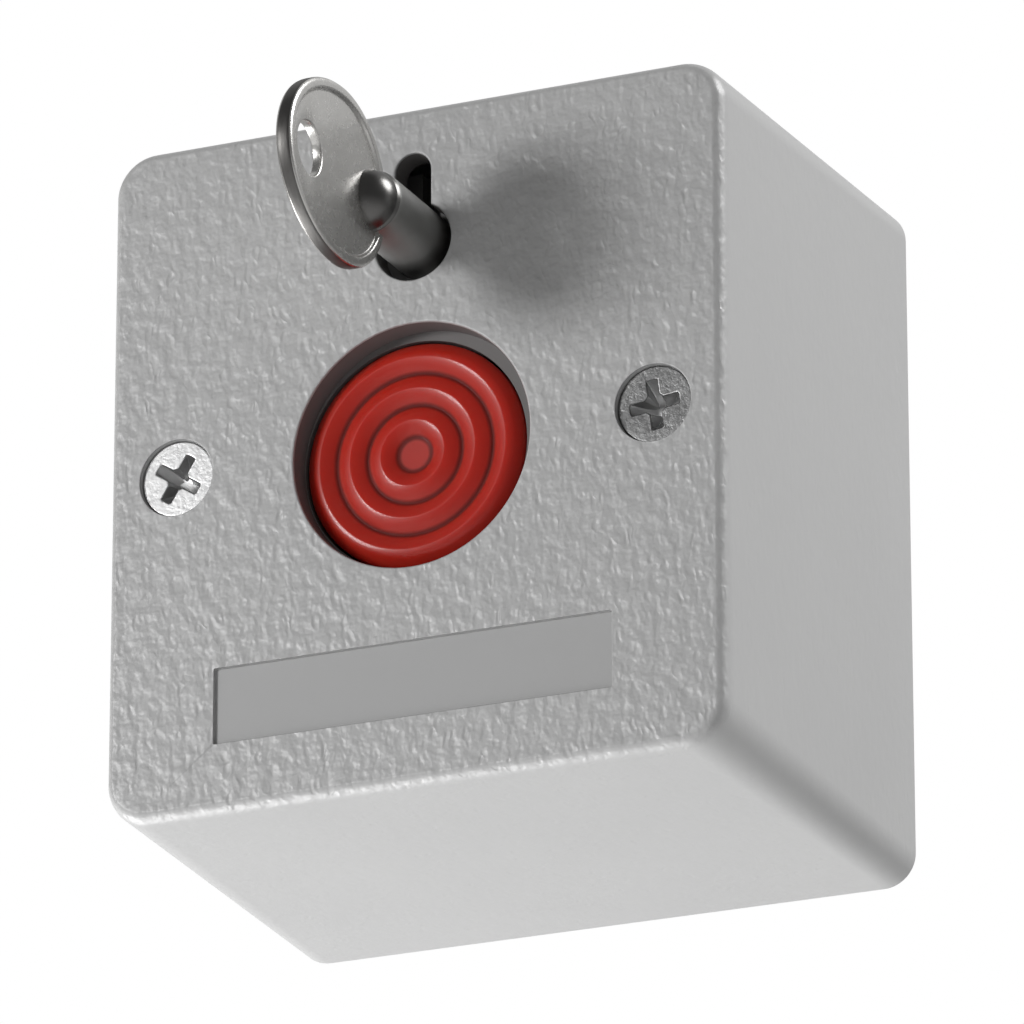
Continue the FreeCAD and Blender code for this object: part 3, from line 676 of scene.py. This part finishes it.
def build_key():
    bm = bmesh.new()
    add_bow(bm)
    add_shank(bm)
    add_bit(bm)
    return finish_mesh(bm, "key_with_bow", "key", sharp=50)


key = build_key()
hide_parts("reset_key")

# %% [markdown]
# ## The two springs
#
# Both springs get shorter when the mechanism moves, which a rigid solid can't do. Each is drawn as round
# wire on a helix, from one end of its solid to the other. A curve with a bevel
# would give the same coil, but only a mesh can be squashed.

# %% Wind the springs
spring_turns = 3
steps_per_turn = 56
wire_sides = 14


def wire_ring(bm, spot, out, axis, radius):
    turns = [2 * math.pi * i / wire_sides for i in range(wire_sides)]
    return [bm.verts.new(spot + (out * math.cos(turn) + axis * math.sin(turn)) * radius) for turn in turns]


def wind_spring(node, along, wire):
    # The coil's axis is the frame's Y (along 1) or Z (along 2), and it runs from the solid's low end to its
    # high end.
    low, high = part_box(node)
    axis = Vector((0, 1, 0)) if along == 1 else Vector((0, 0, 1))
    across = Vector((0, 0, 1)) if along == 1 else Vector((0, 1, 0))
    reach = (high.x - low.x - wire) / 2
    middle = (low + high) / 2
    start, end = low[along] + wire / 2, high[along] - wire / 2
    steps = spring_turns * steps_per_turn
    bm = bmesh.new()
    rings = []
    for step in range(steps + 1):
        turn = 2 * math.pi * step / steps_per_turn
        out = Vector((math.cos(turn), 0, 0)) + across * math.sin(turn)
        spot = middle + out * reach
        spot[along] = start + (end - start) * step / steps
        rings.append(wire_ring(bm, spot, out, axis, wire / 2))
    add_bands(bm, rings)
    for ring in (rings[0], rings[-1]):
        bm.faces.new(ring)
    piece = finish_mesh(bm, "wound_" + node, "housing")
    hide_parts(node)
    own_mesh(piece)
    return piece


springs = [wind_spring("return_spring", 1, 0.6 * MM),
           wind_spring("latch_spring", 2, 0.28 * MM)]

# %% [markdown]
# ## Finishes
#
# Each finish is one shader with a few nodes in front of it. They could be placed by hand in the node
# editor, but as text they are easier to compare. A small class wraps a socket, so that shader maths reads
# as plain sums, and one method adds any other node.

# %% Sums on sockets
class Wire:
    # A socket that sums can be written with.
    def __init__(self, nodes, socket):
        self.nodes = nodes
        self.socket = socket

    def maths(self, operation, first, second):
        return self.nodes.node("ShaderNodeMath", {"operation": operation}, {0: first, 1: second})

    def __add__(self, other):
        return self.maths("ADD", self, other)

    def __radd__(self, other):
        return self.maths("ADD", other, self)

    def __sub__(self, other):
        return self.maths("SUBTRACT", self, other)

    def __rsub__(self, other):
        return self.maths("SUBTRACT", other, self)

    def __mul__(self, other):
        return self.maths("MULTIPLY", self, other)

    def __rmul__(self, other):
        return self.maths("MULTIPLY", other, self)

    def __pow__(self, other):
        return self.maths("POWER", self, other)

    def __rpow__(self, other):
        return self.maths("POWER", other, self)


# %% Any other node
class Nodes:
    # A node tree, with one method that adds any node: its settings, its sockets, and the output to use.
    def __init__(self, tree):
        self.tree = tree

    def node(self, kind, settings=None, sockets=None, output=0):
        made = self.tree.nodes.new(kind)
        for name, value in (settings or {}).items():
            if name == "stops":
                while len(made.color_ramp.elements) < len(value):
                    made.color_ramp.elements.new(0.5)
                for stop, (place, shade) in zip(made.color_ramp.elements, value):
                    stop.position = place
                    stop.color = (shade, shade, shade, 1)
            else:
                setattr(made, name, value)
        for name, value in (sockets or {}).items():
            self.plug(made.inputs[name], value)
        return Wire(self, made.outputs[output])

    def plug(self, socket, value):
        if isinstance(value, Wire):
            self.tree.links.new(value.socket, socket)
        else:
            socket.default_value = value


# %% One finish
class Finish(Nodes):
    # One material: its shader's fixed values, and the nodes that feed what varies.
    def __init__(self, name, **constants):
        self.material = bpy.data.materials.new(name)
        self.material.use_nodes = True
        super().__init__(self.material.node_tree)
        self.shader = self.tree.nodes["Principled BSDF"]
        # The name specular_ior_level stands for the socket Specular IOR Level.
        for socket, value in constants.items():
            self.shader.inputs[socket.replace("_", " ").title().replace("Ior", "IOR")].default_value = value

    def feed(self, name, value):
        self.plug(self.shader.inputs[name], value)

    def place(self, scale=(1.0, 1.0, 1.0)):
        # The point on the piece in millimetres, stretched by the scale.
        spot = self.node("ShaderNodeTexCoord", output="Object")
        stretch = tuple(s / MM for s in scale)
        return self.node("ShaderNodeMapping", {}, {"Vector": spot, "Scale": stretch})

    def noise(self, place, scale, detail=2.0, roughness=0.5):
        sockets = {"Vector": place, "Scale": scale, "Detail": detail, "Roughness": roughness}
        return self.node("ShaderNodeTexNoise", {}, sockets)

    def blend(self, factor, first, second):
        settings = {"data_type": "RGBA"}
        return self.node("ShaderNodeMix", settings, {0: factor, 6: (*first, 1), 7: (*second, 1)}, 2)

    def ramp(self, value, *stops):
        return self.node("ShaderNodeValToRGB", {"stops": stops}, {"Fac": value})

    def bump(self, height, distance, strength=1.0):
        sockets = {"Height": height, "Distance": distance, "Strength": strength}
        self.feed("Normal", self.node("ShaderNodeBump", {}, sockets))


def dress(piece, *materials):
    for material in materials:
        piece.data.materials.append(material)
    print(piece.name, "wears", [material.name for material in materials])


# %% [markdown]
# ## Leather grain
#
# The cover's tool is etched with a leather grain: short soft wrinkles under a millimetre wide and up to
# twice as tall, with smoother skin between them. Cells stretched upright and bent by a slow noise give
# the wrinkles, a second noise lets some of them fade out, and finer ones roughen the skin. The etching is
# shallow on the side walls, or the box would stick in its tool, so the grain fades as the surface turns
# from the front.

# %% Cover plastic
wrinkle_scale = 1.15
wrinkle_stretch = (1.0, 1.0, 0.45)
bend_reach = (1.6, 1.6, 1.6)
wrinkle_depth = 0.055
ripple_depth = 0.08
skin_depth = 0.008


def grained_plastic():
    finish = Finish("grained_plastic", specular_ior_level=0.5)
    place = finish.place()
    bend = finish.node("ShaderNodeTexNoise", {}, {"Vector": place, "Scale": 0.45, "Detail": 2.0}, "Color")
    bent = finish.node("ShaderNodeVectorMath", {"operation": "MULTIPLY_ADD"},
                       {0: bend, 1: bend_reach, 2: place})
    upright = finish.node("ShaderNodeMapping", {}, {"Vector": bent, "Scale": wrinkle_stretch})
    cell = finish.node("ShaderNodeTexVoronoi", {"feature": "F1"}, {"Vector": upright, "Scale": wrinkle_scale})
    pit = finish.node("ShaderNodeMapRange", {"interpolation_type": "SMOOTHSTEP"},
                      {"Value": cell, "From Min": 0.05, "From Max": 0.48})
    fading = finish.ramp(finish.noise(place, 0.7, 2.0), (0.35, 0.15), (0.62, 1.0))
    ripple = finish.noise(upright, 1.2, 1.5, 0.45)
    skin = finish.noise(place, 3.4, 2.0, 0.6)
    turned = finish.node("ShaderNodeTexCoord", output="Normal")
    front = finish.node("ShaderNodeSeparateXYZ", {}, {0: turned}, 1) * -1.0
    facing = finish.ramp(front, (0.1, 0.2), (0.7, 1.0))
    grain = pit * fading * wrinkle_depth + ripple * ripple_depth + skin * skin_depth
    finish.bump(grain * facing, 1.0 * MM)
    patch = finish.noise(place, 0.06, 3.0)
    finish.feed("Base Color", finish.blend(patch, (0.475, 0.475, 0.475), (0.51, 0.51, 0.508)))
    finish.feed("Roughness", 0.30 + ripple * 0.12)
    return finish.material


def smooth_plastic(name, dark, light):
    finish = Finish(name, specular_ior_level=0.4)
    place = finish.place()
    patch = finish.noise(place, 0.12, 3.0)
    finish.feed("Base Color", finish.blend(patch, dark, light))
    finish.feed("Roughness", 0.46 + finish.noise(place, 1.5, 2.0) * 0.08)
    finish.bump(finish.noise(place, 6.0, 2.0), 0.01 * MM, 0.3)
    return finish.material


label_floor = smooth_plastic("label_floor_plastic", (0.440, 0.440, 0.440), (0.455, 0.455, 0.455))
# Painted shade: a darker plastic for the hole walls, darker than the lamps leave them.
painted_hole_shade = smooth_plastic("hole_shade_plastic", (0.155, 0.147, 0.145), (0.175, 0.167, 0.165))
dress(cover, grained_plastic(), label_floor, painted_hole_shade)

# %% [markdown]
# ## The red cap
#
# A satin moulding: saturated red, with a thin sheen where the light grazes it and a very fine texture.
# The crests stay shiny, and each groove between them gets a thin dark, dull line of painted shade. It could
# be painted on the mesh, but the grooves are rings, so the distance from the button's middle finds them.

# %% Button plastic
first_groove = 1.5
groove_pitch = 2.8
clean_red = ((0.48, 0.016, 0.007), (0.54, 0.022, 0.009))
# The dark red painted into the grooves as shade.
groove_shade_red = (0.17, 0.010, 0.007, 1)


def red_plastic():
    finish = Finish("red_plastic", specular_ior_level=0.35, coat_roughness=0.15, subsurface_weight=0.8,
                    subsurface_radius=(1.0, 0.2, 0.1), subsurface_scale=4.0 * MM)
    place = finish.place()
    across = finish.node("ShaderNodeSeparateXYZ", {}, {0: place}, 0) - button_x / MM
    upward = finish.node("ShaderNodeSeparateXYZ", {}, {0: place}, 2) - button_z / MM
    radius = (across * across + upward * upward) ** 0.5
    # The distance to the nearest groove, in millimetres, swings between nothing and half the pitch.
    from_groove = finish.node("ShaderNodeMath", {"operation": "PINGPONG"},
                              {0: radius - first_groove, 1: groove_pitch / 2})
    # A ramp runs from 0 to 1, which is 10 mm here.
    within_crests = finish.ramp(radius * 0.1, (0.82, 1.0), (0.86, 0.0))
    # Painted shade: a thin darker, duller line in each groove, where shade falls.
    groove_shade = finish.ramp(from_groove, (0.10, 0.9), (0.34, 0.0)) * within_crests
    patch = finish.noise(place, 0.25, 3.0)
    red = finish.blend(patch, *clean_red)
    sockets = {0: groove_shade, 6: red, 7: groove_shade_red}
    finish.feed("Base Color", finish.node("ShaderNodeMix", {"data_type": "RGBA"}, sockets, 2))
    finish.feed("Roughness", 0.34 + finish.noise(place, 2.2, 3.0) * 0.14 + groove_shade * 0.3)
    finish.feed("Coat Weight", 0.35 - groove_shade * 0.35)
    finish.bump(finish.noise(place, 3.5, 3.0), 0.02 * MM, 0.4)
    return finish.material


dress(cap, red_plastic())

# %% [markdown]
# ## Plated metal
#
# The key's bow is polished nickel and its shank is left matt. Its edge and neck are painted dark, a painted
# reflection of the dim room that the polished metal mirrors there. The
# screws are zinc: the left one is still bright, the right one has dulled in patches, and both recesses are
# rougher than the heads. All are full metal, with a roughness that varies a little and a fine bump from
# polishing.

# %% Metals
def plated(name, dark, light, rough, grain, scratch, height):
    # The base colour wanders from dark to light, the roughness from rough to rough + grain.
    finish = Finish(name, metallic=1.0)
    place = finish.place()
    patch = finish.noise(place, 0.5, 3.0)
    finish.feed("Base Color", finish.blend(patch, dark, light))
    streaks = finish.noise(finish.place(scratch), 1.2, 4.0, 0.6)
    finish.feed("Roughness", rough + streaks * grain)
    finish.bump(streaks, height, 0.5)
    return finish.material


bright_nickel = plated("bright_nickel", (0.62, 0.61, 0.59), (0.72, 0.71, 0.69), 0.19, 0.14,
                       (1.5, 1.5, 1.5), 0.012 * MM)
matt_nickel = plated("matt_nickel", (0.26, 0.26, 0.255), (0.34, 0.34, 0.33), 0.36, 0.15,
                     (1.0, 6.0, 1.0), 0.012 * MM)
bright_zinc = plated("bright_zinc", (0.48, 0.48, 0.48), (0.70, 0.70, 0.70), 0.24, 0.18,
                     (2.0, 2.0, 2.0), 0.04 * MM)
# Painted reflection: the bow's edge is painted dark for the dim room it mirrors.
painted_dark_edge = plated("painted_dark_edge", (0.08, 0.078, 0.075), (0.17, 0.165, 0.16), 0.34, 0.20,
                   (6.0, 1.0, 1.0), 0.02 * MM)
# Painted reflection: the neck is painted dark for the dim room it mirrors.
painted_dark_neck = plated("painted_dark_neck", (0.11, 0.108, 0.105), (0.17, 0.167, 0.162), 0.24, 0.10,
                     (1.0, 1.0, 1.0), 0.01 * MM)
dull_zinc = plated("dull_zinc", (0.12, 0.12, 0.12), (0.40, 0.40, 0.40), 0.20, 0.3,
                   (2.6, 2.6, 2.6), 0.06 * MM)
dark_recess = plated("dark_recess", (0.44, 0.44, 0.44), (0.66, 0.66, 0.66), 0.34, 0.2,
                     (2.6, 2.6, 2.6), 0.03 * MM)
dress(key, bright_nickel, matt_nickel, painted_dark_edge, painted_dark_neck)
for screw, zinc in zip(screws, (bright_zinc, dull_zinc)):
    dress(screw, zinc, dark_recess)

# %% [markdown]
# ## Inside the box
#
# The solids behind the cover are right as they are, so they only get a finish, by what each is made of:
# moulded plastics, stamped and sprung steel, brass strip, bronze and silver. Pieces of the same stock
# share one finish.

# %% Finishes of the solids that stay
inner_finishes = {
    "base_plate": smooth_plastic("base_moulding", (0.36, 0.36, 0.365), (0.40, 0.40, 0.405)),
    "chassis": smooth_plastic("dark_moulding", (0.075, 0.073, 0.071), (0.095, 0.092, 0.090)),
    "plunger": smooth_plastic("natural_acetal", (0.68, 0.67, 0.62), (0.74, 0.73, 0.69)),
    "latch_slider": plated("stamped_steel", (0.45, 0.45, 0.45), (0.55, 0.55, 0.55), 0.3, 0.15,
                           (1, 6, 1), 0.01 * MM),
    "return_spring": plated("spring_wire", (0.40, 0.40, 0.41), (0.50, 0.50, 0.50), 0.3, 0.1,
                            (2, 2, 2), 0.008 * MM),
    "reset_cam": smooth_plastic("rotor_moulding", (0.17, 0.168, 0.165), (0.20, 0.198, 0.195)),
    "com_terminal": plated("brass_strip", (0.62, 0.47, 0.22), (0.72, 0.56, 0.28), 0.28, 0.12,
                           (1, 1, 5), 0.008 * MM),
    "moving_leaf": plated("spring_bronze", (0.52, 0.33, 0.17), (0.62, 0.41, 0.22), 0.26, 0.12,
                          (1, 1, 5), 0.008 * MM),
    "moving_contact": plated("contact_silver", (0.74, 0.74, 0.72), (0.82, 0.82, 0.80), 0.3, 0.1,
                             (2, 2, 2), 0.008 * MM),
}
same_as = {
    "plunger_clip": "return_spring", "key_post": "latch_slider",
    "nc_terminal": "com_terminal", "no_terminal": "com_terminal", "fixed_contacts": "moving_contact",
}
drawn_again = {"front_cover", "push_button", "reset_key", "cover_screws", "return_spring", "latch_spring"}
for name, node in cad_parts.items():
    if name in drawn_again:
        continue
    # Screws and washers have no finish of their own here, and are bright zinc.
    material = inner_finishes.get(same_as.get(name, name), bright_zinc)
    node.data.materials.clear()
    node.data.materials.append(material)
for spring in springs:
    dress(spring, inner_finishes["return_spring"])
print("solids with a finish", len(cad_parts) - len(drawn_again))

# %% [markdown]
# ## Camera
#
# The photograph looks up at the box from its right, from about three quarters of a metre with a long
# lens. The angles, distance and framing were fitted to the box's edges and corners.

# %% Place the camera
azimuth = math.radians(23.94)
elevation = math.radians(-20.26)
camera_distance = 756.055 * MM
aim = Vector((0.0, -19.0 * MM, 0.0))
# How far the aim lies from the picture's middle, to the right and up, and its scale there.
slide = (0.209 * MM, -0.701 * MM)
pixels_per_mm = 11.787
image_pixels = 1024
film_width = 36.0

level = math.cos(elevation)
back = Vector((math.sin(azimuth) * level, -math.cos(azimuth) * level, math.sin(elevation)))
right = Vector((math.cos(azimuth), math.sin(azimuth), 0.0))
up = back.cross(right)
spot = aim + back * camera_distance - right * slide[0] - up * slide[1]
camera = bpy.data.objects.new("camera", bpy.data.cameras.new("camera"))
bpy.context.scene.collection.objects.link(camera)
camera.matrix_world = Matrix.Translation(spot) @ Matrix((right, up, back)).transposed().to_4x4()
camera.data.sensor_width = film_width
camera.data.lens = film_width * pixels_per_mm * (camera_distance / MM) / image_pixels
camera.data.clip_start = 0.05
camera.data.clip_end = 20.0
bpy.context.scene.camera = camera
print("camera", [round(v, 4) for v in camera.location], "lens", round(camera.data.lens, 1))

# %% [markdown]
# ## Lamps
#
# The photograph was taken before a white backdrop, in a dim room. One soft lamp at the front left throws
# the key's soft shadow to the right. Wide panels under the box and beyond its right side lift those two
# walls above the face, but stand too far back to shine into the button's hole, whose left wall stays dark.

# %% Hang the lamps
def add_panel(name, direction, distance, size, watts):
    lamp = bpy.data.lights.new(name, "AREA")
    lamp.shape = "DISK"
    lamp.size = size
    lamp.energy = watts
    panel = bpy.data.objects.new(name, lamp)
    bpy.context.scene.collection.objects.link(panel)
    towards = Vector(direction).normalized()
    panel.location = aim + towards * distance
    panel.rotation_mode = "QUATERNION"
    panel.rotation_quaternion = towards.to_track_quat("Z", "Y")
    panel.visible_camera = False
    print(name, "at", [round(v, 3) for v in panel.location], "with", watts, "W")


add_panel("front_left_panel", (-0.78, -1.0, 0.12), distance=0.9, size=0.30, watts=4.06)
add_panel("under_panel", (-0.95, 0.3, -1.0), distance=0.40, size=0.30, watts=1.59)
add_panel("right_panel", (1.0, 0.42, 0.95), distance=0.7, size=0.4, watts=3.78)

# %% [markdown]
# ## The room
#
# The world stands in for the room: dim in front and bright behind, which is what polished metal mirrors.
# The camera itself sees white paper instead. One mix does both, because a ray knows whether it comes
# from the camera.

# %% Paint the world
tent_light = 0.157
backdrop_light = 0.5
tent_end, backdrop_start = -0.05, 0.25
white = (1, 1, 1, 1)

world = bpy.data.worlds.new("white_tent")
world.use_nodes = True
bpy.context.scene.world = world
room = Nodes(world.node_tree)
room.tree.nodes.remove(room.tree.nodes["Background"])
direction = room.node("ShaderNodeTexCoord", output="Generated")
depth_in_room = room.node("ShaderNodeSeparateXYZ", {}, {0: direction}, 1)
behind = room.node("ShaderNodeMapRange", {"interpolation_type": "SMOOTHSTEP"},
                   {"Value": depth_in_room, "From Min": tent_end, "From Max": backdrop_start,
                    "To Min": tent_light, "To Max": backdrop_light})
tent = room.node("ShaderNodeBackground", {}, {"Color": white, "Strength": behind})
paper = room.node("ShaderNodeBackground", {}, {"Color": white})
camera_ray = room.node("ShaderNodeLightPath", output="Is Camera Ray")
choice = room.node("ShaderNodeMixShader", {}, {0: camera_ray, 1: tent, 2: paper})
room.plug(room.tree.nodes["World Output"].inputs["Surface"], choice)
print("world", tent_light, "in front,", backdrop_light, "behind")

# %% [markdown]
# ## The floor
#
# A pale sheet well below the box, since the camera looks up and never sees it. It sends a little light
# back onto the underside, as a table would. It is part of the stage, and no part of the piece.

# %% Lay the floor
floor_z = -0.40
floor_half = 3
floor_corners = [(x * floor_half, y * floor_half, floor_z) for x, y in ((-1, -1), (1, -1), (1, 1), (-1, 1))]
floor_mesh = bpy.data.meshes.new("floor")
floor_mesh.from_pydata(floor_corners, [], [(0, 1, 2, 3)])
floor = bpy.data.objects.new("floor", floor_mesh)
bpy.context.scene.collection.objects.link(floor)
pale = Finish("pale_floor", roughness=0.8)
patch = pale.noise(pale.place(), 0.004, 2.0)
pale.feed("Base Color", pale.blend(patch, (0.80, 0.80, 0.80), (0.82, 0.82, 0.82)))
dress(floor, pale.material)
bpy.context.scene.view_settings.view_transform = "Standard"
